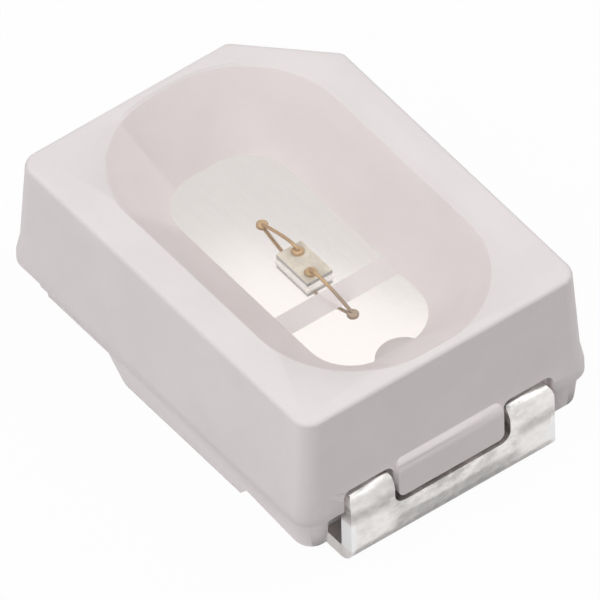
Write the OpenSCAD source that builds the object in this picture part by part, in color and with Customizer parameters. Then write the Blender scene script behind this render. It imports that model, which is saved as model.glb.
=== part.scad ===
// Two-terminal surface-mount light-emitting diode with a white moulded housing, an oblong
// reflector cavity filled with clear resin, a wire-bonded chip and two J-shaped terminals.
// Millimetres. The origin is at the centre of the seating plane: +X points to the anode
// terminal, +Y across the housing, +Z up to the light-emitting face. The cut corner at
// (-X, +Y) marks the cathode.

/* [Overall] */
// Length over the outer faces of the two terminals
overall_l = 3.02; // [3.0:0.01:3.1]
// Height from the seating plane to the top face
height = 1.3; // [1.2:0.01:1.5]

/* [Housing] */
// Length over the parting flange
housing_l = 2.95; // [2.9:0.01:2.97]
// Width over the parting flange
housing_w = 2.20; // [2.15:0.01:2.5]
// Height of the middle of the flange
flange_z = 0.50; // [0.48:0.01:0.52]
// Height of the flange's flat face
flange_h = 0.08; // [0.06:0.01:0.1]
// How far the flange stands out from the drafted wall
flange_out = 0.017; // [0.01:0.001:0.03]
// Height of the slope that leads from the wall out to the flange
flare_h = 0.13; // [0.08:0.01:0.16]
// Draft of the upper walls, in degrees
wall_draft = 2.5; // [1:0.5:4]
// Radius of the upright edges
corner_r = 0.12; // [0.06:0.01:0.2]
// Radius of the edge round the top face
top_edge_r = 0.03; // [0.02:0.005:0.035]
// Leg of the cut corner that marks the cathode
mark_leg = 0.50; // [0.3:0.01:0.6]
// Radius of the cut corner's two upright edges
mark_r = 0.06; // [0.03:0.01:0.12]
// Height of the ledge at the foot of the cut corner
ledge_h = 0.03; // [0.02:0.005:0.05]

/* [Underside] */
// How far the lower half steps in below the flange
step_in = 0.035; // [0.02:0.005:0.05]
// Height of the slope of that step
step_h = 0.05; // [0.03:0.005:0.06]
// Draft of the lower walls, in degrees
lower_draft = 5; // [3:0.5:8]
// Height of the foot's bottom face above the seating plane
foot_z = 0.14; // [0.12:0.01:0.15]
// Radius of the edge round the foot's bottom face
foot_edge_r = 0.08; // [0.04:0.01:0.08]
// Length of the foot at its bottom face
foot_l = 1.05; // [0.95:0.01:1.1]
// Place of the foot's middle along X
foot_x = 0.19; // [0.15:0.01:0.22]
// Slope of the foot's ends, in degrees
foot_slope = 50; // [45:1:65]
// Height of the underside over the anode terminal's foot
anode_relief_z = 0.22; // [0.18:0.01:0.23]
// How much higher that underside is beside the foot
anode_relief_rise = 0.06; // [0:0.01:0.08]
// Height of the underside over the cathode terminal's foot
cathode_relief_z = 0.365; // [0.33:0.005:0.37]
// Height of the underside at the cathode end, where it steps up once more
cathode_end_z = 0.475; // [0.42:0.005:0.475]
// Length of that step
cathode_step_l = 0.36; // [0.3:0.01:0.4]

/* [Cavity] */
// Length of the cavity's rim at the top face
rim_l = 2.73; // [2.5:0.01:2.75]
// Width of the rim
rim_w = 1.60; // [1.45:0.01:1.7]
// Corner radius of the rim
rim_r = 0.70; // [0.5:0.01:0.72]
// Radius of the rim's edge
rim_edge_r = 0.015; // [0.01:0.005:0.02]
// Length of the cavity's floor
floor_l = 1.90; // [1.7:0.01:1.95]
// Width of the floor
floor_w = 0.82; // [0.75:0.01:0.95]
// Corner radius of the floor
floor_r = 0.31; // [0.2:0.01:0.34]

/* [Terminals] */
// Height of the lead frame's upper face, which is the cavity's floor
lead_top = 0.58; // [0.57:0.005:0.59]
// Thickness of the lead-frame sheet
lead_t = 0.10; // [0.08:0.01:0.12]
// Width of each terminal outside the housing
lead_w = 1.55; // [1.45:0.01:1.65]
// Outer radius of the bend at the housing
shoulder_r = 0.13; // [0.12:0.005:0.15]
// Outer radius of the bend at the seating plane
heel_r = 0.12; // [0.11:0.005:0.15]
// Height of the crossbar between the two prongs
crossbar_h = 0.315; // [0.28:0.005:0.33]
// Width of the window between the prongs
window_w = 0.88; // [0.8:0.01:0.95]
// Radius of the window's lower corners
window_r = 0.08; // [0.04:0.01:0.1]
// Radius of each prong's upper corner on the window's side
prong_r = 0.05; // [0.03:0.01:0.07]
// Radius of each prong's upper corner on the outer side
prong_outer_r = 0.1; // [0.08:0.01:0.12]
// Length of the anode terminal's foot along the seating plane
anode_foot_l = 0.58; // [0.5:0.01:0.6]
// Length of the cathode terminal's foot
cathode_foot_l = 0.90; // [0.8:0.01:0.92]

/* [Lead frame inside] */
// Width of the bonding pads inside the housing
pad_w = 1.20; // [1.0:0.01:1.3]
// Place of the cathode pad's inner edge along X
cathode_pad_x = 0.288; // [0.26:0.002:0.3]
// Width of the plastic strip between the two pads
pad_gap = 0.17; // [0.12:0.01:0.2]
// Distance from the anode terminal's outer face to the inner end of its moulding slot
anode_slot_l = 0.65; // [0.6:0.01:0.68]
// The same distance at the cathode terminal
cathode_slot_l = 0.50; // [0.45:0.01:0.52]
// Width of the moulding slots at their round inner ends
slot_w = 0.36; // [0.3:0.01:0.4]
// Length over which a pad's straight prongs run inside the housing
prong_run = 0.22; // [0.18:0.01:0.25]

/* [End walls] */
// How far the bump between the prongs stands out past the flange
bump_out = 0.025; // [0.01:0.005:0.04]
// Clearance between the bump and each prong
bump_gap = 0.04; // [0.03:0.005:0.06]
// Height of the bump's foot above the crossbar
bump_lift = 0.03; // [0.02:0.005:0.05]
// Height of the bump's top above the flange
bump_rise = 0.1; // [0.08:0.01:0.12]
// Height of the bump's round shoulder
bump_slope_h = 0.07; // [0.05:0.01:0.08]
// Radius of the bump's corners
bump_r = 0.05; // [0.03:0.01:0.08]
// Clearance round each prong where it leaves the housing
prong_gap = 0.025; // [0.02:0.005:0.03]
// Height of the niche above each prong
niche_h = 0.03; // [0.02:0.005:0.05]
// Depth of the niche behind the flange
niche_in = 0.06; // [0.04:0.01:0.07]
// Radius of the niche's upper corners
niche_r = 0.06; // [0.03:0.01:0.08]
// Clearance behind the terminal's upright part
pocket_gap = 0.08; // [0.05:0.01:0.1]
// Clearance at the terminal's -Y side in its pocket
pocket_side = 0.12; // [0.08:0.01:0.14]
// Clearance at its +Y side, where the housing stands close to it
pocket_far_side = 0.015; // [0.01:0.005:0.03]

/* [Chip] */
// Length of the chip along X
die_l = 0.31; // [0.28:0.01:0.33]
// Width of the chip
die_w = 0.19; // [0.18:0.01:0.24]
// Thickness of the chip
die_h = 0.10; // [0.08:0.01:0.12]
// Distance from the chip to the edge of its pad
die_inset = 0.058; // [0.04:0.002:0.065]
// Place of the chip's middle along Y
die_y = -0.02; // [-0.04:0.005:0.04]
// Thickness of the adhesive under the chip
attach_h = 0.012; // [0.01:0.001:0.015]
// How far the adhesive reaches past the chip
attach_rim = 0.015; // [0.01:0.001:0.02]
// Width of each contact on the chip
contact_w = 0.085; // [0.08:0.005:0.09]
// Thickness of the contacts
contact_h = 0.005; // [0.004:0.001:0.006]
// Distance from each contact's centre to the chip's middle, along X
contact_x = 0.093; // [0.085:0.002:0.1]
// The same distance along Y, to opposite sides for the two contacts
contact_y = 0.022; // [0:0.002:0.04]

/* [Bond wires] */
// Diameter of the gold wire
wire_d = 0.026; // [0.02:0.001:0.03]
// Radius of a flattened ball
ball_r = 0.038; // [0.034:0.001:0.04]
// Height of a flattened ball
ball_h = 0.026; // [0.02:0.001:0.03]
// Height of each loop above the chip
loop_h = 0.055; // [0.05:0.005:0.1]
// Place of the cathode bump along X
cathode_bump_x = -0.37; // [-0.42:0.01:-0.34]
// Place of the cathode bump along Y
cathode_bump_y = 0; // [-0.05:0.01:0.05]
// Place of the anode bump along X
anode_bump_x = 0.555; // [0.54:0.005:0.58]
// Place of the anode bump along Y
anode_bump_y = -0.02; // [-0.05:0.01:0.05]

/* [Resin] */
// How far the resin's surface lies below the top face
resin_drop = 0.012; // [0.01:0.001:0.02]

/* [Hidden] */
$fn = 48;
// Points round a quarter of a lofted outline
quarter_n = 13;
// Overlap that joins pieces of one solid, and overshoot of a cut
lap = 0.02;
over = 1;

// Levels
flange_top = flange_z + flange_h / 2;
flange_base = flange_z - flange_h / 2;
lower_top = flange_base - step_h;
lead_base = lead_top - lead_t;
die_base = lead_top + attach_h;
die_top = die_base + die_h;
contact_top = die_top + contact_h;

// Half sizes
flange_hx = housing_l / 2;
flange_hy = housing_w / 2;
face_x = overall_l / 2;
prong_in = window_w / 2;
prong_out = lead_w / 2;

// Places of the chip, its contacts, the bumps and the anode pad
die_x = cathode_pad_x - die_inset - die_l / 2;
cathode_contact = [die_x - contact_x, die_y + contact_y];
anode_contact = [die_x + contact_x, die_y - contact_y];
cathode_bond = [cathode_bump_x, cathode_bump_y];
anode_bond = [anode_bump_x, anode_bump_y];
anode_pad_x = cathode_pad_x + pad_gap;

// How far the upper wall has drawn in at height z
function wall_inset(z) = flange_out + (z - flange_top) * tan(wall_draft);
// How far the lower wall has drawn in at height z
function lower_inset(z) = step_in + (lower_top - z) * tan(lower_draft);

// Arc of n points about (cx, cy), from angle a over the given sweep
function arc(cx, cy, r, a, sweep, n) =
    [for (i = [0:n - 1]) [cx + r * cos(a + sweep * i / (n - 1)), cy + r * sin(a + sweep * i / (n - 1))]];

// Rounded rectangle at height z, with one corner cut off where mark is more than nothing
function outline(hx, hy, r, z, mark = 0) = [
    for (p = concat(
        arc(hx - r, hy - r, r, 0, 90, quarter_n),
        mark == 0 ? arc(r - hx, hy - r, r, 90, 90, quarter_n) : cut_corner(hx, hy, mark),
        arc(r - hx, r - hy, r, 180, 90, quarter_n),
        arc(hx - r, r - hy, r, 270, 90, quarter_n)
    )) [p.x, p.y, z]
];

// The two short arcs of the cut corner, with as many points as a whole one
function cut_corner(hx, hy, leg) = concat(
    arc(leg - hx + mark_r * tan(22.5), hy - mark_r, mark_r, 90, 45, (quarter_n - 1) / 2),
    arc(mark_r - hx, hy - leg - mark_r * tan(22.5), mark_r, 135, 45, (quarter_n + 1) / 2)
);

// Solid through a stack of outlines that all have the same number of points
module loft(rings) {
    n = len(rings[0]);
    top = len(rings) - 1;
    polyhedron(
        points = [for (ring = rings) each ring],
        faces = concat(
            [[for (i = [0:n - 1]) i]],
            [[for (i = [n - 1:-1:0]) top * n + i]],
            [for (k = [0:top - 1], i = [0:n - 1])
                each let (a = k * n + i, b = k * n + (i + 1) % n) [[a, a + n, b], [b, a + n, b + n]]]
        )
    );
}

// Outline of the housing at height z, drawn in from the flange by an inset
function ring(z, inset, mark = 0) =
    outline(flange_hx - inset, flange_hy - inset, corner_r + max(0, flange_out - inset), z, mark);

// Upper half: flare, drafted walls, rounded top edge and cut corner
module upper_half() {
    wall_base = flange_top + flare_h;
    wall_top = height - top_edge_r;
    loft(concat(
        [ring(flange_top - lap, lap), ring(flange_top, 0), ring(wall_base, wall_inset(wall_base))],
        [ring(wall_base + ledge_h, wall_inset(wall_base + ledge_h), mark_leg)],
        [for (a = [0:22.5:90])
            ring(wall_top + top_edge_r * sin(a), wall_inset(wall_top) + top_edge_r * (1 - cos(a)), mark_leg)]
    ));
}

// Flange and lower half, down to the foot's bottom face
module lower_half() {
    edge_z = foot_z + foot_edge_r;
    loft(concat(
        [for (a = [90:-22.5:0])
            ring(edge_z - foot_edge_r * sin(a), lower_inset(edge_z) + foot_edge_r * (1 - cos(a)))],
        [ring(lower_top, step_in), ring(flange_base, 0), ring(flange_top, 0)]
    ));
}

// Solid along Y from a profile drawn in X and Z
module along_y(width) {
    rotate([90, 0, 0])
        linear_extrude(width, center = true)
            children();
}

// Space under the housing on both sides of its foot
module underside_relief() {
    left = foot_x - foot_l / 2;
    right = foot_x + foot_l / 2;
    step_x = cathode_step_l - flange_hx;
    beside = anode_relief_z + anode_relief_rise;
    function run(low, high) = (high - low) / tan(foot_slope);
    along_y(housing_w + over)
        polygon([
            [-flange_hx - over, -over], [-flange_hx - over, cathode_end_z],
            [step_x - (cathode_end_z - cathode_relief_z) * 0.3, cathode_end_z], [step_x, cathode_relief_z],
            [left - run(foot_z, cathode_relief_z), cathode_relief_z], [left, foot_z],
            [left, -over]
        ]);
    along_y(housing_w + over)
        polygon([
            [flange_hx + over, -over], [flange_hx + over, anode_relief_z], [flange_hx, anode_relief_z],
            [right + run(foot_z, beside), beside], [right, foot_z], [right, -over]
        ]);
}

// Ridge of the end wall that fills the window between the prongs
module end_bump() {
    root = flange_hx - 2 * niche_in;
    front = flange_hx + bump_out;
    base = crossbar_h + bump_lift;
    top = flange_top + bump_rise;
    back = flange_hx - flange_out;
    half = window_w / 2 - bump_gap;
    shoulder = [
        for (a = [0:15:90])
            [back + (front - back) * cos(a), top - bump_slope_h * (1 - sin(a))]
    ];
    intersection() {
        along_y(window_w)
            polygon(concat([[root, base], [front, base]], shoulder, [[root, top]]));
        rotate([90, 0, 90])
            linear_extrude(overall_l)
                intersection() {
                    translate([-half, base]) arched(2 * half, top - base, bump_r);
                    translate([-half, top]) mirror([0, 1]) arched(2 * half, top - base, bump_r);
                }
    }
}

// Square with its two upper corners rounded, from the origin
module arched(width, tall, r) {
    square([width, tall - r]);
    translate([r, 0]) square([width - 2 * r, tall]);
    translate([r, tall - r]) circle(r);
    translate([width - r, tall - r]) circle(r);
}

// Niche in the end wall where one prong comes out
module prong_niche() {
    width = prong_out - prong_in + 2 * prong_gap;
    translate([flange_hx - niche_in, prong_in - prong_gap, crossbar_h])
        rotate([90, 0, 90])
            linear_extrude(over)
                arched(width, lead_top + niche_h - crossbar_h, niche_r);
}

// Pocket behind the terminal's upright part
module terminal_pocket() {
    back = face_x - lead_t - pocket_gap;
    near = prong_out + pocket_side;
    far = prong_out + pocket_far_side;
    translate([back, -near, -over])
        cube([over, near + far, over + flange_base]);
}

// What is cut away at the +X end; the -X end is its mirror image
module end_cuts() {
    prong_niche();
    mirror([0, 1, 0]) prong_niche();
    difference() {
        terminal_pocket();
        end_bump();
    }
}

// Reflector cavity from its floor up to height z_top
module cavity(z_top) {
    edge_z = height - rim_edge_r;
    full = z_top >= height;
    share = full ? 1 : (z_top - lead_top) / (edge_z - lead_top);
    function mix(a, b) = a + (b - a) * share;
    loft(concat(
        [outline(floor_l / 2, floor_w / 2, floor_r, lead_top)],
        [outline(
            mix(floor_l, rim_l) / 2 - rim_edge_r * share,
            mix(floor_w, rim_w) / 2 - rim_edge_r * share,
            mix(floor_r, rim_r), full ? edge_z : z_top
        )],
        full ? [
            outline(rim_l / 2 - rim_edge_r * 0.3, rim_w / 2 - rim_edge_r * 0.3, rim_r, height - rim_edge_r * 0.3),
            outline(rim_l / 2, rim_w / 2, rim_r, height),
            outline(rim_l / 2, rim_w / 2, rim_r, z_top)
        ] : []
    ));
}

// White moulded housing
module housing() {
    color("whitesmoke")
        difference() {
            union() {
                upper_half();
                lower_half();
                end_bump();
                mirror([1, 0, 0]) end_bump();
            }
            underside_relief();
            end_cuts();
            mirror([1, 0, 0]) end_cuts();
            cavity(height + lap);
            anode_shape();
            cathode_shape();
        }
}

// Quarter of a bend, from its centre, with the outer radius r
module bend(r) {
    intersection() {
        difference() {
            circle(r);
            circle(r - lead_t);
        }
        square(r);
    }
}

// Side profile of a terminal from the shoulder to the end of its foot
module terminal_profile(foot_len) {
    upright = lead_top - shoulder_r - heel_r;
    translate([face_x - shoulder_r, lead_top - shoulder_r]) bend(shoulder_r);
    translate([face_x - lead_t, heel_r]) square([lead_t, upright]);
    translate([face_x - heel_r, heel_r]) mirror([0, 1]) bend(heel_r);
    translate([face_x - foot_len, 0]) square([foot_len - heel_r, lead_t]);
}

// Window between the prongs, open upwards, seen along X
module window_shape() {
    translate([-prong_in, crossbar_h + window_r]) square([window_w, over]);
    translate([window_r - prong_in, crossbar_h]) square([window_w - 2 * window_r, over]);
    for (s = [-1, 1])
        translate([s * (prong_in - window_r), crossbar_h + window_r]) circle(window_r);
}

// Outline of the terminal seen along X
module terminal_face() {
    difference() {
        translate([-prong_out, 0]) square([lead_w, lead_top]);
        for (s = [-1, 1]) {
            translate([s * (prong_in + prong_r), lead_top - prong_r]) upper_corner(-s, prong_r);
            translate([s * (prong_out - prong_outer_r), lead_top - prong_outer_r])
                upper_corner(s, prong_outer_r);
        }
        window_shape();
    }
}

// What an upper corner of radius r leaves off, on the side of sign s
module upper_corner(s, r) {
    difference() {
        translate([min(0, s * (r + lap)), 0]) square(r + lap);
        circle(r);
    }
}

// Plan of the flat part inside the housing, from inner_x out to the shoulder
module pad_plan(inner_x, slot_l) {
    shoulder_x = face_x - shoulder_r;
    run_x = shoulder_x - prong_run;
    slot_x = face_x - slot_l;
    difference() {
        polygon([
            [inner_x, -pad_w / 2], [run_x - lead_t, -pad_w / 2], [run_x, -prong_out],
            [shoulder_x, -prong_out], [shoulder_x, prong_out], [run_x, prong_out],
            [run_x - lead_t, pad_w / 2], [inner_x, pad_w / 2]
        ]);
        translate([slot_x + slot_w / 2, 0]) circle(d = slot_w);
        translate([slot_x + slot_w / 2, -slot_w / 2]) square([over, slot_w]);
        translate([run_x + lead_t / 2, -prong_in]) square([over, window_w]);
    }
}

// One terminal with its pad, drawn at the +X end
module lead_shape(inner_x, slot_l, foot_len) {
    translate([0, 0, lead_base])
        linear_extrude(lead_t)
            pad_plan(inner_x, slot_l);
    intersection() {
        along_y(lead_w) terminal_profile(foot_len);
        rotate([90, 0, 90])
            linear_extrude(overall_l)
                terminal_face();
    }
}

module anode_shape() {
    lead_shape(anode_pad_x, anode_slot_l, anode_foot_l);
}

module cathode_shape() {
    mirror([1, 0, 0]) lead_shape(-cathode_pad_x, cathode_slot_l, cathode_foot_l);
}

// Terminal at the +X end
module anode_lead() {
    color("silver") anode_shape();
}

// Terminal at the cut-corner end, which carries the chip
module cathode_lead() {
    color("silver") cathode_shape();
}

// Square slab with round corners, centred
module slab(length, width, tall, r) {
    linear_extrude(tall) {
        square([length - 2 * r, width], center = true);
        square([length, width - 2 * r], center = true);
        for (sx = [-1, 1], sy = [-1, 1])
            translate([sx * (length / 2 - r), sy * (width / 2 - r)]) circle(r);
    }
}

// Clear adhesive under the chip
module attach_shape() {
    translate([die_x, die_y, lead_top])
        slab(die_l + 2 * attach_rim, die_w + 2 * attach_rim, attach_h, attach_rim * 2);
}

module die_attach() {
    color("gainsboro") attach_shape();
}

// Chip with its two contacts
module die_shape() {
    translate([die_x - die_l / 2, die_y - die_w / 2, die_base]) cube([die_l, die_w, die_h]);
    for (at = [cathode_contact, anode_contact])
        translate([at.x, at.y, die_top]) cylinder(h = contact_h, d = contact_w);
}

module die() {
    color("lightgray") die_shape();
}

// Flattened gold ball at a place on a surface at height z
module ball(at, z) {
    translate([at.x, at.y, z])
        rotate_extrude() {
            square([ball_r - ball_h / 2, ball_h]);
            intersection() {
                translate([ball_r - ball_h / 2, ball_h / 2]) circle(ball_h / 2);
                square([ball_r, ball_h]);
            }
        }
}

// Point at share t of a cubic curve, and its direction there
function curve(p, t) =
    p[0] * pow(1 - t, 3) + p[1] * 3 * t * pow(1 - t, 2) + p[2] * 3 * t * t * (1 - t) + p[3] * pow(t, 3);
function curve_way(p, t) =
    (p[1] - p[0]) * pow(1 - t, 2) + (p[2] - p[1]) * 2 * t * (1 - t) + (p[3] - p[2]) * t * t;

// Loop of a given span that starts on a contact and comes down to a pad, in X and Z
function loop(span) = [
    [0, contact_top + ball_h / 2],
    [-span * 0.03, contact_top + loop_h * 1.5],
    [span * 0.30, contact_top + loop_h * 1.4],
    [span, lead_top + ball_h * 0.6]
];

// Round wire swept along a loop in the plane of X and Z
module wire(span) {
    steps = 22;
    sides = 8;
    loft([
        for (k = [0:steps])
            let (at = curve(loop(span), k / steps), way = curve_way(loop(span), k / steps), len = norm(way))
            [for (i = [0:sides - 1])
                let (a = 360 * (i + 0.5) / sides, out = wire_d / 2 * cos(a))
                [at.x + way.y / len * out, wire_d / 2 * sin(a), at.y - way.x / len * out]]
    ]);
}

// Wire with its ball, from a contact to the bump that ties it down
module bond(contact, bump) {
    way = bump - contact;
    ball(contact, contact_top);
    difference() {
        translate([contact.x, contact.y, 0])
            rotate(atan2(way.y, way.x))
                wire(norm(way));
        ball(bump, lead_top);
    }
}

// Gold wire from the chip to the cathode pad, with the ball that it starts from
module cathode_wire() {
    color("goldenrod") bond(cathode_contact, cathode_bond);
}

// Gold wire from the chip to the anode pad, with the ball that it starts from
module anode_wire() {
    color("goldenrod") bond(anode_contact, anode_bond);
}

// Gold bump that ties down the end of each wire
module cathode_bump() {
    color("goldenrod") ball(cathode_bond, lead_top);
}

module anode_bump() {
    color("goldenrod") ball(anode_bond, lead_top);
}

// Clear resin that fills the cavity round the chip and its wires
module encapsulant() {
    color("aliceblue", 0.35)
        difference() {
            cavity(height - resin_drop);
            attach_shape();
            die_shape();
            bond(cathode_contact, cathode_bond);
            bond(anode_contact, anode_bond);
            ball(cathode_bond, lead_top);
            ball(anode_bond, lead_top);
        }
}

housing();
cathode_lead();
anode_lead();
die_attach();
die();
cathode_wire();
anode_wire();
cathode_bump();
anode_bump();
encapsulant();
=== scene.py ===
"""Dresses a small surface-mount light-emitting diode and sets it in a plain pale studio."""

import math

import bpy
from mathutils import Matrix, Vector


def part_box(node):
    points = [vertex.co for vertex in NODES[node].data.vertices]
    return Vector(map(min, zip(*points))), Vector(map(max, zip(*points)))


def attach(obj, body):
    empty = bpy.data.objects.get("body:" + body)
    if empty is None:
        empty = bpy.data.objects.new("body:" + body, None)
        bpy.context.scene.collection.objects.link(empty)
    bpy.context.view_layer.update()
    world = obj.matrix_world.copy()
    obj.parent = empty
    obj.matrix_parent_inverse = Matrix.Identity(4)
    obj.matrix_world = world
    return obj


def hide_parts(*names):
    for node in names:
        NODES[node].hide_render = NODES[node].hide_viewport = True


bl_info = {
    "name": "Surface-Mount Diode Dresser",
    "version": (1, 0, 0),
    "blender": (4, 5, 0),
    "location": "3D View > Sidebar > Diode",
    "description": "Makes the clear resin, the bond wires and the finishes of a moulded diode",
    "category": "Object",
}

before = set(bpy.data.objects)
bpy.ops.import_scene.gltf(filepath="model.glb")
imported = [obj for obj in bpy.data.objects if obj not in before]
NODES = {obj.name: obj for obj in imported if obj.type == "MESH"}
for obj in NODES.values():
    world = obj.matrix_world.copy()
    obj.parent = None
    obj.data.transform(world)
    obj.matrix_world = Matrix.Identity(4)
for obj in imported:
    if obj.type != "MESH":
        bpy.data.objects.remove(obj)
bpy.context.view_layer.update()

MM = 0.001
MICRON = 1e-6
RESIN_INDEX = 1.57

# Lamps: name, place in mm, width in mm, the share of white that each lends to what faces it,
# and whether bright metal mirrors it
LAMPS = (
    ("front_box", (0, -34.4, 49.1), 40, 0.48, True),
    ("right_box", (24.3, 24.3, 49.1), 40, 0.21, True),
    ("far_box", (0, 34.4, 49.1), 40, 0.274, True),
    ("low_box", (-38.5, -38.5, 25.4), 40, 0.098, True),
    ("near_box", (8.2, -8.2, 13.8), 10, 0.035, True),
)
ROOM_LIGHT = 0.135
ROOM_WHITE = 0.75
ROOM_IN_RESIN = 0.79
SILVER_BOUNCE = 0.96

# A card that the silver floor mirrors: its size and distance in mm, the slope of its soft edge as
# drawn on the pads, where that edge starts and ends across them, and its brightest white
CARD_WIDTH = 7.0
CARD_DISTANCE = 3.0
CARD_SLOPE = (0.894, 0.447)
CARD_EDGE = (-0.08, 0.13)
CARD_END = (-0.85, -0.15)
CARD_WHITE = 1.15
CARD_DARK = 1.0


def middle(node):
    """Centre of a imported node's box."""
    low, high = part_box(node)
    return (low + high) / 2


HOUSING_LOW, HOUSING_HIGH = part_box("housing")
RESIN_LOW, RESIN_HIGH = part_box("encapsulant")
DIE_LOW, DIE_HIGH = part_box("die")
FLOOR_HEIGHT = RESIN_LOW.z


class DiodeSettings(bpy.types.PropertyGroup):
    """Colours and sizes that a user would change."""

    housing_colour: bpy.props.FloatVectorProperty(
        name="Housing", description="White of the moulded housing", subtype="COLOR",
        size=4, min=0, max=1, default=(0.86, 0.805, 0.81, 1),
    )
    plating_colour: bpy.props.FloatVectorProperty(
        name="Plating", description="Silver of the terminals", subtype="COLOR",
        size=4, min=0, max=1, default=(0.93, 0.905, 0.885, 1),
    )
    gold_colour: bpy.props.FloatVectorProperty(
        name="Gold", description="Gold of the bond wires and bumps", subtype="COLOR",
        size=4, min=0, max=1, default=(0.60, 0.43, 0.25, 1),
    )
    chip_colour: bpy.props.FloatVectorProperty(
        name="Chip", description="Tone of the clear chip", subtype="COLOR",
        size=4, min=0, max=1, default=(0.72, 0.66, 0.56, 1),
    )
    resin_rim_length: bpy.props.FloatProperty(
        name="Opening Length", description="Length of the cavity at the resin's level",
        unit="LENGTH", default=2.72 * MM, precision=5,
    )
    resin_rim_width: bpy.props.FloatProperty(
        name="Opening Width", description="Width of the cavity at the resin's level",
        unit="LENGTH", default=1.59 * MM, precision=5,
    )
    lamp_strength: bpy.props.FloatProperty(
        name="Lamps", description="Share of full light that the lamps give",
        min=0, max=4, default=1.0,
    )


class Value:
    """A shader socket that can stand in a sum."""

    def __init__(self, tree, socket):
        self.tree = tree
        self.socket = socket

    def maths(self, operation, *others, first=None):
        """Adds a Math node whose inputs are this value and the others."""
        node = self.tree.nodes.new("ShaderNodeMath")
        node.operation = operation
        values = list(others) if first is None else [first]
        values.insert(0 if first is None else 1, self)
        for socket, value in zip(node.inputs, values):
            plug(self.tree, socket, value)
        return Value(self.tree, node.outputs[0])

    def __add__(self, other):
        return self.maths("ADD", other)

    def __radd__(self, other):
        return self.maths("ADD", first=other)

    def __sub__(self, other):
        return self.maths("SUBTRACT", other)

    def __rsub__(self, other):
        return self.maths("SUBTRACT", first=other)

    def __mul__(self, other):
        return self.maths("MULTIPLY", other)

    def __rmul__(self, other):
        return self.maths("MULTIPLY", first=other)

    def __truediv__(self, other):
        return self.maths("DIVIDE", other)

    def __pow__(self, other):
        return self.maths("POWER", other)

    def __abs__(self):
        return self.maths("ABSOLUTE")

    def __gt__(self, other):
        return self.maths("GREATER_THAN", other)

    def __lt__(self, other):
        return self.maths("LESS_THAN", other)

    def largest(self, other):
        """The larger of two values."""
        return self.maths("MAXIMUM", other)

    def rising(self, start, end):
        """A smooth rise from 0 at start to 1 at end."""
        share = self.tree.nodes.new("ShaderNodeMapRange")
        share.interpolation_type = "SMOOTHSTEP"
        plug(self.tree, share.inputs["Value"], self)
        share.inputs["From Min"].default_value = start
        share.inputs["From Max"].default_value = end
        return Value(self.tree, share.outputs["Result"])


def plug(tree, socket, value):
    """Sets a socket to a number or a colour, or links it to a value."""
    if isinstance(value, Value):
        tree.links.new(value.socket, socket)
    else:
        socket.default_value = value


class Finish:
    """A material, and the one way in which its nodes are added."""

    def __init__(self, name, tree=None):
        self.material = None
        if tree is None:
            self.material = bpy.data.materials.new(name)
            self.material.use_nodes = True
            tree = self.material.node_tree
        self.tree = tree
        tree.nodes.clear()

    def node(self, kind, settings, inputs, output=0):
        """Adds a node of a kind, with its settings first and then its inputs."""
        node = self.tree.nodes.new(kind)
        for name, setting in settings.items():
            setattr(node, name, setting)
        for name, value in inputs.items():
            plug(self.tree, node.inputs[name], value)
        return Value(self.tree, node.outputs[output])

    def place(self):
        """Object coordinates in millimetres."""
        point = self.node("ShaderNodeTexCoord", {}, {}, "Object")
        return self.node("ShaderNodeVectorMath", {"operation": "SCALE"}, {0: point, "Scale": 1 / MM})

    def axes(self, point):
        """The x, y and z of a point."""
        split = self.tree.nodes.new("ShaderNodeSeparateXYZ")
        plug(self.tree, split.inputs[0], point)
        return [Value(self.tree, socket) for socket in split.outputs]

    def stretched(self, point, scale):
        """A point scaled by a different number along each axis."""
        return self.node("ShaderNodeVectorMath", {"operation": "MULTIPLY"}, {0: point, 1: scale})

    def noise(self, point, scale, detail=2.0, roughness=0.5):
        """Soft noise about 0.5, with scale in waves per millimetre."""
        inputs = {"Vector": point, "Scale": scale, "Detail": detail, "Roughness": roughness}
        return self.node("ShaderNodeTexNoise", {}, inputs, "Fac")

    def blend(self, share, first, second):
        """A colour between two others."""
        return self.node(
            "ShaderNodeMix", {"data_type": "RGBA"}, {0: share, 6: first, 7: second}, 2,
        )

    def bump(self, height, distance, strength=1.0, normal=None):
        """A normal from a height of 0 to 1 over a distance in metres."""
        inputs = {"Height": height, "Distance": distance, "Strength": strength}
        if normal is not None:
            inputs["Normal"] = normal
        return self.node("ShaderNodeBump", {}, inputs, "Normal")

    def principled(self, inputs):
        """The main surface shader."""
        return self.node("ShaderNodeBsdfPrincipled", {}, inputs, "BSDF")

    def finish(self, surface):
        """Joins the surface to the material's output."""
        output = self.tree.nodes.new("ShaderNodeOutputMaterial")
        plug(self.tree, output.inputs["Surface"], surface)
        return self.material


def shade(colour, factor):
    """A colour made darker or lighter."""
    return [channel * factor for channel in colour[:3]] + [1]


def housing_finish(settings):
    """White moulded plastic with a fine texture, paler where light is painted on the end ridges and on
    one low side.
    """
    finish = Finish("white_moulding")
    place = finish.place()
    grain = finish.noise(place, 55, 3, 0.6)
    cloud = finish.noise(place, 2.2, 2)
    tone = (cloud * 0.7 + grain * 0.3).rising(0.3, 0.7)
    x, y, z = finish.axes(place)
    # Painted light: the tops of the end ridges and the lower half of the -y side are lightened where
    # light falls on them.
    painted_ridge_light = abs(x).rising(1.458, 1.475) * (1.0 - abs(y).rising(0.42, 0.46)) * z.rising(0.54, 0.58)
    painted_skirt_light = (1.0 - y.rising(-1.0, -0.9)) * (1.0 - z.rising(0.445, 0.475))
    white = list(settings.housing_colour)
    plain = finish.blend(tone, shade(white, 0.975), shade(white, 1.02))
    surface = finish.principled({
        "Base Color": finish.blend(painted_ridge_light.largest(painted_skirt_light), plain, shade(white, 1.11)),
        "Roughness": 0.52 + grain * 0.16,
        "Specular IOR Level": 0.35,
        "Normal": finish.bump(grain, 1.2 * MICRON),
    })
    return finish.finish(surface)


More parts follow.
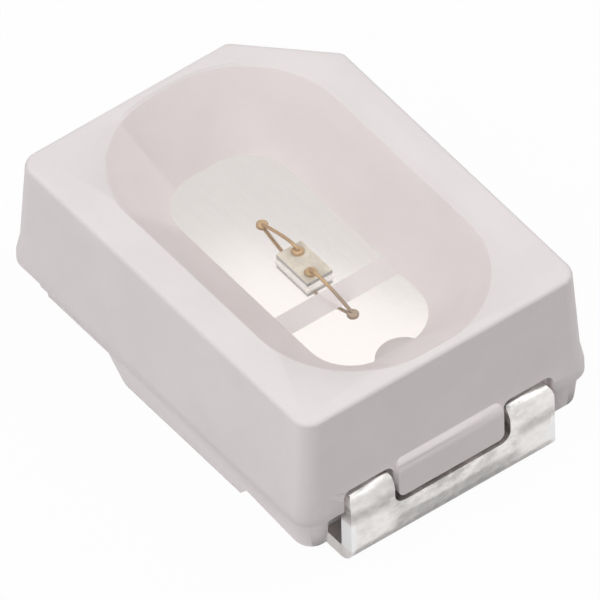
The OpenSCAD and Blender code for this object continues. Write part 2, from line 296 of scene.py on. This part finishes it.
def plating_finish(settings):
    """Bright silver plate, cloudy on the rolled sheet and rough where it was sheared, with painted shade
    and painted highlights on the terminals outside the housing.
    """
    finish = Finish("silver_plate")
    place = finish.place()
    x, y, z = finish.axes(place)
    rolled = finish.noise(finish.stretched(place, (6, 40, 6)), 1.0, 3, 0.6)
    cloud = finish.noise(place, 7, 4, 0.65)
    streak = finish.noise(finish.stretched(place, (5, 7, 16)), 1.0, 3, 0.6)
    outside = (abs(x)).rising(1.36, 1.40)
    bar = 1.0 - abs(y - 0.02).rising(0.41, 0.54)
    fold = z + y * 0.045 + (cloud - 0.5) * 0.06
    # Painted shade in the crease of each prong, and a painted shadow on the front of the crossbar.
    crease = fold.rising(0.28, 0.36) * (1.0 - fold.rising(0.38, 0.46)) * (1.0 - bar)
    shadow = bar * (1.0 - (z + (cloud - 0.5) * 0.05).rising(0.18, 0.225))
    sheared = bar * z.rising(0.22, 0.27)
    face = (1.0 - bar) * (1.0 - z.rising(0.28, 0.36))
    # Painted highlight along the outer side edge of each prong's lower face.
    painted_edge_highlight = abs(y).rising(0.735, 0.755) * face
    # Painted shade along the bottom bend, and on a band of the top bend to dim its reflection.
    heel_shade = (1.0 - bar * 0.7) * (1.0 - (z + (streak - 0.5) * 0.03).rising(0.10, 0.14))
    shoulder_shade = z.rising(0.535, 0.555) * (1.0 - z.rising(0.566, 0.577))
    burrs = finish.noise(finish.stretched(place, (20, 20, 26)), 1.0, 2)
    mottle = (streak * 0.4 + cloud * 0.4 + burrs * 0.2).rising(0.38, 0.62)
    pits = (1.0 - mottle) * (0.19 + sheared * 0.26)
    # Painted shade from the crease, the crossbar front and the two bends, with the random pits of the
    # plate.
    dark = crease * 0.3 + shadow * 0.3 + heel_shade * 0.42 + shoulder_shade * 0.35 + pits
    # Painted highlights on the sheared top of the crossbar, the lower faces, the outer side edges and the
    # far prong.
    lit = sheared * 0.08 + face * 0.06 + painted_edge_highlight * 0.3 + y.rising(0.5, 0.66) * 0.12
    light = 1.06 - dark + lit
    level = 1.0 - (1.0 - rolled) * 0.04 + outside * (light - 1.0)
    silver = list(settings.plating_colour)
    surface = finish.principled({
        "Base Color": finish.blend(level * 0.85, (0, 0, 0, 1), shade(silver, 1.0 / 0.85)),
        "Metallic": 1.0,
        "Roughness": 0.09 + rolled * 0.04 + outside * 0.2,
        "Normal": finish.bump(
            (rolled * 0.5 + cloud + burrs * sheared * 2.0) * (0.02 + outside) - crease * outside * 1.5,
            3.0 * MICRON, 0.7,
        ),
    })
    return finish.finish(surface)


def gold_finish(settings):
    """Soft drawn gold with a faint grain."""
    finish = Finish("bond_gold")
    place = finish.place()
    grain = finish.noise(place, 60, 2)
    # Darker and greyer towards the anode bump, past x = 0.3 mm.
    darker_towards_anode = finish.axes(place)[0].rising(0.30, 0.42)
    gold = list(settings.gold_colour)
    bright = finish.blend(grain, shade(gold, 0.9), shade(gold, 1.08))
    surface = finish.principled({
        "Base Color": finish.blend(darker_towards_anode, bright, (0.45, 0.36, 0.27, 1)),
        "Metallic": 1.0,
        "Roughness": 0.28 + grain * 0.14,
        "Normal": finish.bump(grain, 0.8 * MICRON, 0.4),
    })
    return finish.finish(surface)


def chip_finish(settings):
    """Crystal with clear sides, a dark outline, a tinted top and gold contacts."""
    finish = Finish("chip_crystal")
    place = finish.place()
    z = finish.axes(place)[2]
    grain = finish.noise(place, 45, 3, 0.6)
    cloud = finish.noise(place, 14, 2)
    chip = list(settings.chip_colour)
    body_top = DIE_HIGH.z / MM - 0.005
    clear = 1.0 - (z + (cloud - 0.5) * 0.03).rising(body_top - 0.065, body_top - 0.04)
    top = z.rising(body_top - 0.004, body_top - 0.001)
    contact = z.rising(body_top + 0.001, body_top + 0.003)
    tint = finish.blend(cloud.rising(0.35, 0.65), shade(chip, 0.93), shade(chip, 1.09))
    rim = finish.blend(top, finish.blend(cloud, shade(chip, 0.55), (0.36, 0.38, 0.4, 1)), tint)
    sides = finish.blend(clear, rim, (1.0, 0.98, 0.96, 1))
    surface = finish.principled({
        "Base Color": finish.blend(contact, sides, (0.56, 0.42, 0.27, 1)),
        "Metallic": clear,
        "Roughness": 0.18 + grain * 0.2 + clear * 0.4,
        "Coat Weight": 0.3 - clear * 0.3,
        "Normal": finish.bump(grain, 0.4 * MICRON, 0.3),
    })
    return finish.finish(surface)


def adhesive_finish(settings):
    """Clear adhesive that shows the silver under it."""
    finish = Finish("clear_adhesive")
    place = finish.place()
    ripple = finish.noise(place, 30, 2)
    surface = finish.principled({
        "Base Color": finish.blend(ripple, (0.9, 0.88, 0.85, 1), (0.97, 0.95, 0.93, 1)),
        "Metallic": 0.8,
        "Roughness": 0.4 + ripple * 0.2,
        "Normal": finish.bump(ripple, 0.6 * MICRON, 0.5),
    })
    return finish.finish(surface)


def resin_finish(settings):
    """Clear casting resin, which lets the lamps through to what it covers."""
    finish = Finish("clear_resin")
    place = finish.place()
    wave = finish.noise(place, 1.6, 2)
    ripple = finish.bump(wave, 2.0 * MICRON, 0.2)
    bent = finish.node("ShaderNodeBsdfRefraction", {}, {
        "Color": (0.995, 0.981, 0.976, 1), "IOR": RESIN_INDEX, "Roughness": 0.0,
    })
    gloss = finish.node("ShaderNodeBsdfAnisotropic", {}, {
        "Color": (1, 1, 1, 1), "Roughness": 0.22, "Normal": ripple,
    })
    mirrored = finish.node("ShaderNodeFresnel", {}, {"IOR": RESIN_INDEX})
    body = finish.node("ShaderNodeMixShader", {}, {0: mirrored, 1: bent, 2: gloss})
    lamps = finish.node("ShaderNodeLightPath", {}, {}, "Is Shadow Ray")
    through = finish.node("ShaderNodeBsdfTransparent", {}, {"Color": (0.91, 0.94, 0.935, 1)})
    return finish.finish(finish.node("ShaderNodeMixShader", {}, {0: lamps, 1: body, 2: through}))


def coat(obj, material):
    """Gives an object one material in place of what it carries."""
    obj.data.materials.clear()
    obj.data.materials.append(material)


def coat_node(name, material):
    """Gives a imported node's slots a material."""
    for slot in NODES[name].material_slots:
        slot.material = material


def clear_selection():
    """Leaves edit mode and selects nothing."""
    if bpy.context.mode != "OBJECT":
        bpy.ops.object.mode_set(mode="OBJECT")
    bpy.ops.object.select_all(action="DESELECT")


def pick(obj, kind, test):
    """In edit mode, selects the faces or edges whose middle passes a test."""
    bpy.ops.mesh.select_all(action="DESELECT")
    bpy.ops.mesh.select_mode(type=kind)
    bpy.ops.object.mode_set(mode="OBJECT")
    mesh = obj.data
    parts = mesh.polygons if kind == "FACE" else mesh.edges
    for part in parts:
        corners = [mesh.vertices[i].co for i in part.vertices]
        centre = sum(corners, Vector()) / len(corners)
        part.select = test(centre)
    bpy.ops.object.mode_set(mode="EDIT")


def pick_sharp(obj, angle, test):
    """In edit mode, selects the sharp edges whose middle passes a test."""
    bpy.ops.mesh.select_all(action="DESELECT")
    bpy.ops.mesh.select_mode(type="EDGE")
    bpy.ops.mesh.edges_select_sharp(sharpness=math.radians(angle))
    bpy.ops.object.mode_set(mode="OBJECT")
    mesh = obj.data
    sharp = [edge.index for edge in mesh.edges if edge.select]
    bpy.ops.object.mode_set(mode="EDIT")
    bpy.ops.mesh.select_all(action="DESELECT")
    bpy.ops.object.mode_set(mode="OBJECT")
    for index in sharp:
        ends = [mesh.vertices[i].co for i in mesh.edges[index].vertices]
        mesh.edges[index].select = test((ends[0] + ends[1]) / 2)
    bpy.ops.object.mode_set(mode="EDIT")


def settle(obj, slot, *nodes):
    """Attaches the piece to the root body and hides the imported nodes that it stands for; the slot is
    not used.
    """
    clear_selection()
    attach(obj, "root")
    if nodes:
        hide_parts(*nodes)
    return obj


def joined_copy(node, name):
    """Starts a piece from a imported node, with its triangles joined and its flat faces whole."""
    clear_selection()
    source = NODES[node]
    piece = bpy.data.objects.new(name, source.data.copy())
    piece.data.transform(source.matrix_world)
    bpy.context.collection.objects.link(piece)
    piece.select_set(True)
    bpy.context.view_layer.objects.active = piece
    bpy.ops.object.mode_set(mode="EDIT")
    bpy.ops.mesh.select_all(action="SELECT")
    bpy.ops.mesh.remove_doubles(threshold=MICRON)
    bpy.ops.mesh.dissolve_limited(angle_limit=math.radians(0.5))
    return piece


def smooth(piece, angle, weighted=True):
    """Leaves edit mode and shades curves smooth, with flat faces kept flat."""
    bpy.ops.object.mode_set(mode="OBJECT")
    bpy.ops.object.shade_smooth_by_angle(angle=math.radians(angle))
    if weighted:
        bpy.ops.object.modifier_add(type="WEIGHTED_NORMAL")
        piece.modifiers[-1].keep_sharp = True
        bpy.ops.object.modifier_apply(modifier=piece.modifiers[-1].name)


class DIODE_OT_housing(bpy.types.Operator):
    """Makes the moulded housing with smooth curves"""

    bl_idname = "diode.housing"
    bl_label = "Make Housing"

    def execute(self, context):
        housing = joined_copy("housing", "moulded_housing")
        smooth(housing, 32)
        coat(housing, housing_finish(context.scene.diode))
        settle(housing, "housing", "housing")
        return {"FINISHED"}


class DIODE_OT_terminals(bpy.types.Operator):
    """Makes the two stamped terminals, whose sheared edges are rolled"""

    bl_idname = "diode.terminals"
    bl_label = "Make Terminals"

    edge_roll: bpy.props.FloatProperty(
        name="Edge Roll", description="Radius of the sheet's edges", unit="LENGTH",
        default=9 * MICRON,
    )

    def execute(self, context):
        plating = plating_finish(context.scene.diode)
        for node, name in (("cathode_lead", "cathode_terminal"), ("anode_lead", "anode_terminal")):
            terminal = joined_copy(node, name)
            pick_sharp(terminal, 60, lambda c: abs(c.x) > HOUSING_HIGH.x - 0.09 * MM)
            bpy.ops.mesh.bevel(
                offset=self.edge_roll, offset_type="OFFSET", segments=2, affect="EDGES",
                clamp_overlap=True,
            )
            smooth(terminal, 25)
            coat(terminal, plating)
            settle(terminal, "lead", node)
        return {"FINISHED"}


class DIODE_OT_chip(bpy.types.Operator):
    """Finishes the chip and its adhesive, and makes the bond wires and bumps round"""

    bl_idname = "diode.chip"
    bl_label = "Make Chip and Wires"

    def execute(self, context):
        settings = context.scene.diode
        coat_node("die", chip_finish(settings))
        coat_node("die_attach", adhesive_finish(settings))
        gold = gold_finish(settings)
        for end in ("cathode", "anode"):
            wire = joined_copy(end + "_wire", end + "_bond_wire")
            smooth(wire, 70, weighted=False)
            coat(wire, gold)
            settle(wire, "gold", end + "_wire")
            bump = joined_copy(end + "_bump", end + "_bond_bump")
            smooth(bump, 70, weighted=False)
            coat(bump, gold)
            settle(bump, "gold", end + "_bump")
        return {"FINISHED"}


class DIODE_OT_resin(bpy.types.Operator):
    """Casts the clear resin into the cavity, pressed a hair into its walls so that no air shows"""

    bl_idname = "diode.resin"
    bl_label = "Cast Resin"

    floor_length: bpy.props.FloatProperty(name="Floor Length", unit="LENGTH", default=1.90 * MM)
    floor_width: bpy.props.FloatProperty(name="Floor Width", unit="LENGTH", default=0.82 * MM)
    floor_radius: bpy.props.FloatProperty(name="Floor Radius", unit="LENGTH", default=0.31 * MM)
    rim_radius: bpy.props.FloatProperty(name="Rim Radius", unit="LENGTH", default=0.70 * MM)
    press: bpy.props.FloatProperty(
        name="Press", description="How far the resin reaches into what it wets",
        unit="LENGTH", default=3 * MICRON,
    )
    arc_steps: bpy.props.IntProperty(name="Arc Steps", default=20, min=4)

    def outline(self, length, width, radius, height):
        """Adds a flat oblong with round corners at a height."""
        bpy.ops.mesh.primitive_plane_add(size=1, location=(0, 0, height))
        bpy.ops.transform.resize(value=(length, width, 1))
        bpy.ops.mesh.bevel(
            offset=radius, offset_type="OFFSET", segments=self.arc_steps, affect="VERTICES",
        )

    def execute(self, context):
        settings = context.scene.diode
        clear_selection()
        spread = 2 * self.press
        floor = FLOOR_HEIGHT - self.press
        level = RESIN_HIGH.z
        bpy.ops.mesh.primitive_plane_add(size=1, location=(0, 0, 0))
        resin = context.object
        resin.name = "resin_fill"
        bpy.ops.object.mode_set(mode="EDIT")
        bpy.ops.mesh.select_all(action="SELECT")
        bpy.ops.mesh.delete(type="VERT")
        self.outline(
            self.floor_length + spread, self.floor_width + spread, self.floor_radius, floor,
        )
        bpy.ops.mesh.select_all(action="DESELECT")
        self.outline(
            settings.resin_rim_length + spread, settings.resin_rim_width + spread,
            self.rim_radius, level,
        )
        bpy.ops.mesh.select_all(action="SELECT")
        bpy.ops.mesh.delete(type="ONLY_FACE")
        bpy.ops.mesh.select_all(action="SELECT")
        bpy.ops.mesh.bridge_edge_loops()
        for height in (floor, level):
            pick(resin, "EDGE", lambda c, h=height: abs(c.z - h) < MICRON)
            bpy.ops.mesh.edge_face_add()
        bpy.ops.mesh.select_all(action="SELECT")
        bpy.ops.mesh.normals_make_consistent(inside=False)
        bpy.ops.object.mode_set(mode="OBJECT")
        bpy.ops.object.shade_smooth_by_angle(angle=math.radians(25))
        coat(resin, resin_finish(settings))
        settle(resin, "resin", "encapsulant")
        return {"FINISHED"}


class DIODE_OT_stage(bpy.types.Operator):
    """Sets the floor, the soft lamps, the white surroundings and the camera"""

    bl_idname = "diode.stage"
    bl_label = "Set Stage"

    azimuth: bpy.props.FloatProperty(name="Azimuth", default=53.214)
    elevation: bpy.props.FloatProperty(name="Elevation", default=46.768)
    roll: bpy.props.FloatProperty(name="Roll", default=-1.0526)
    picture_width: bpy.props.FloatProperty(
        name="Picture Width", unit="LENGTH", default=3.62295 * MM,
    )
    centre: bpy.props.FloatVectorProperty(
        name="Centre", subtype="TRANSLATION", default=(0.081 * MM, -0.062 * MM, 0.68 * MM),
    )

    def white_share(self, finish, seen, mirrored, through):
        """How much of a surface is plain white, for rays from the camera, from metal and from resin."""
        path = finish.tree.nodes.new("ShaderNodeLightPath")
        eye, mirror, glass, bounces, mirrors = [Value(finish.tree, path.outputs[name]) for name in (
            "Is Camera Ray", "Is Glossy Ray", "Is Transmission Ray", "Diffuse Depth", "Glossy Depth",
        )]
        direct = bounces < 0.5
        thrown = (mirrors > 0.5) * SILVER_BOUNCE
        shares = mirror * mirrored * direct, glass * through * direct.largest(thrown)
        return (eye * seen).largest(shares[0]).largest(shares[1])

    def floor(self):
        """A pale floor that keeps a faint shadow."""
        bpy.ops.mesh.primitive_grid_add(
            x_subdivisions=4, y_subdivisions=4, size=0.6, location=(0, 0, -MICRON),
        )
        floor = bpy.context.object
        floor.name = "studio_floor"
        finish = Finish("studio_floor")
        matt = finish.node("ShaderNodeBsdfDiffuse", {}, {"Color": (0.73, 0.72, 0.72, 1)})
        white = finish.node("ShaderNodeEmission", {}, {"Color": (1, 1, 1, 1), "Strength": 1.0})
        share = self.white_share(finish, 0.97, 0.45, 0.45)
        coat(floor, finish.finish(finish.node("ShaderNodeMixShader", {}, {0: share, 1: matt, 2: white})))

    def surroundings(self, context):
        """White to the eye, and a soft grey as light."""
        world = bpy.data.worlds.new("pale_studio")
        context.scene.world = world
        world.use_nodes = True
        world.cycles.sampling_method = "NONE"
        finish = Finish("pale_studio", world.node_tree)
        share = self.white_share(finish, 1.0, ROOM_WHITE, ROOM_IN_RESIN)
        colour = finish.blend(share, (ROOM_LIGHT, ROOM_LIGHT, ROOM_LIGHT, 1), (1, 1, 1, 1))
        back = finish.node("ShaderNodeBackground", {}, {"Color": colour, "Strength": 1.0})
        output = finish.tree.nodes.new("ShaderNodeOutputWorld")
        plug(finish.tree, output.inputs["Surface"], back)

    def lamp(self, name, place, size, light, mirrored):
        """A square soft lamp aimed at the part, whose light is the share of white it lends."""
        bpy.ops.object.light_add(type="AREA", location=place)
        lamp = bpy.context.object
        lamp.name = name
        lamp.rotation_euler = place.to_track_quat("Z", "Y").to_euler()
        lamp.data.shape = "SQUARE"
        lamp.data.size = size
        lamp.data.energy = light * math.pi ** 2 * place.length ** 2
        lamp.visible_glossy = mirrored
        lamp.visible_transmission = False

    def back(self):
        """Direction from the part to the camera."""
        turn, rise = math.radians(self.azimuth), math.radians(self.elevation)
        return Vector((math.sin(turn) * math.cos(rise), -math.cos(turn) * math.cos(rise), math.sin(rise)))

    def card(self):
        """A card with a soft edge, which the camera sees mirrored in the pads through the resin."""
        back = self.back()
        mirrored = Vector((-back.x, -back.y, back.z))
        level = Vector((mirrored.x, mirrored.y, 0))
        slant = math.asin(level.length / RESIN_INDEX)
        shift = level.normalized() * math.tan(slant) * (RESIN_HIGH.z - FLOOR_HEIGHT)
        centre = Vector((0, 0, RESIN_HIGH.z)) + shift + mirrored * CARD_DISTANCE * MM
        slope = Vector((*CARD_SLOPE, 0))
        downhill = Vector((CARD_SLOPE[1], -CARD_SLOPE[0], 0))
        along = (slope - mirrored * slope.dot(mirrored)).normalized()
        across = mirrored.cross(along)
        bpy.ops.mesh.primitive_grid_add(
            x_subdivisions=2, y_subdivisions=2, size=CARD_WIDTH * MM, location=centre,
        )
        card = bpy.context.object
        card.name = "mirrored_card"
        card.rotation_euler = Matrix((along, across, mirrored)).transposed().to_euler()
        finish = Finish("mirrored_card")
        u, v, _ = finish.axes(finish.place())
        spread = downhill.dot(across)
        edge = (v * (1 / spread)).rising(*CARD_EDGE)
        end = (u * (1 / slope.dot(along))).rising(*CARD_END)
        base = (end * (1 - CARD_DARK) + CARD_DARK) * ROOM_IN_RESIN
        strength = base + edge * end * (CARD_WHITE - ROOM_IN_RESIN)
        white = finish.node("ShaderNodeEmission", {}, {"Color": (1, 1, 1, 1), "Strength": strength})
        clear = finish.node("ShaderNodeBsdfTransparent", {}, {"Color": (1, 1, 1, 1)})
        path = finish.tree.nodes.new("ShaderNodeLightPath")
        direct = Value(finish.tree, path.outputs["Diffuse Depth"]) < 0.5
        material = finish.finish(finish.node("ShaderNodeMixShader", {}, {0: direct, 1: clear, 2: white}))
        material.cycles.emission_sampling = "NONE"
        coat(card, material)
        card.visible_camera = False
        card.visible_diffuse = False
        card.visible_glossy = False
        card.visible_shadow = False

    def camera(self, context):
        """A camera in parallel projection at the photograph's angle."""
        back = self.back()
        bpy.ops.object.camera_add(location=Vector(self.centre) + back * 20 * MM)
        camera = context.object
        camera.name = "photo_camera"
        turned = (-back).to_track_quat("-Z", "Y").to_matrix()
        camera.rotation_euler = (turned @ Matrix.Rotation(math.radians(self.roll), 3, "Z")).to_euler()
        camera.data.type = "ORTHO"
        camera.data.ortho_scale = self.picture_width
        camera.data.clip_start = MM
        camera.data.clip_end = 2
        camera.data.dof.use_dof = False
        context.scene.camera = camera

    def execute(self, context):
        strength = context.scene.diode.lamp_strength
        clear_selection()
        self.floor()
        self.surroundings(context)
        for name, place, size, light, mirrored in LAMPS:
            self.lamp(name, Vector(place) * MM, size * MM, light * strength, mirrored)
        self.card()
        self.camera(context)
        context.scene.view_settings.view_transform = "Standard"
        return {"FINISHED"}


class DIODE_PT_panel(bpy.types.Panel):
    """Lists the steps in the order in which they run"""

    bl_idname = "DIODE_PT_panel"
    bl_label = "Diode"
    bl_space_type = "VIEW_3D"
    bl_region_type = "UI"
    bl_category = "Diode"

    def draw(self, context):
        settings = context.scene.diode
        for name in settings.bl_rna.properties.keys():
            if name not in ("rna_type", "name"):
                self.layout.prop(settings, name)
        for step in STEPS:
            self.layout.operator(step.bl_idname)


STEPS = (
    DIODE_OT_housing,
    DIODE_OT_terminals,
    DIODE_OT_chip,
    DIODE_OT_resin,
    DIODE_OT_stage,
)
CLASSES = (DiodeSettings, *STEPS, DIODE_PT_panel)


def register():
    """Adds the classes and the settings to Blender."""
    for cls in CLASSES:
        bpy.utils.register_class(cls)
    bpy.types.Scene.diode = bpy.props.PointerProperty(type=DiodeSettings)


def unregister():
    """Takes them out again."""
    del bpy.types.Scene.diode
    for cls in reversed(CLASSES):
        bpy.utils.unregister_class(cls)


def main():
    """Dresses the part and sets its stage."""
    register()
    bpy.ops.diode.housing()
    bpy.ops.diode.terminals()
    bpy.ops.diode.chip()
    bpy.ops.diode.resin()
    bpy.ops.diode.stage()


if __name__ == "__main__":
    main()
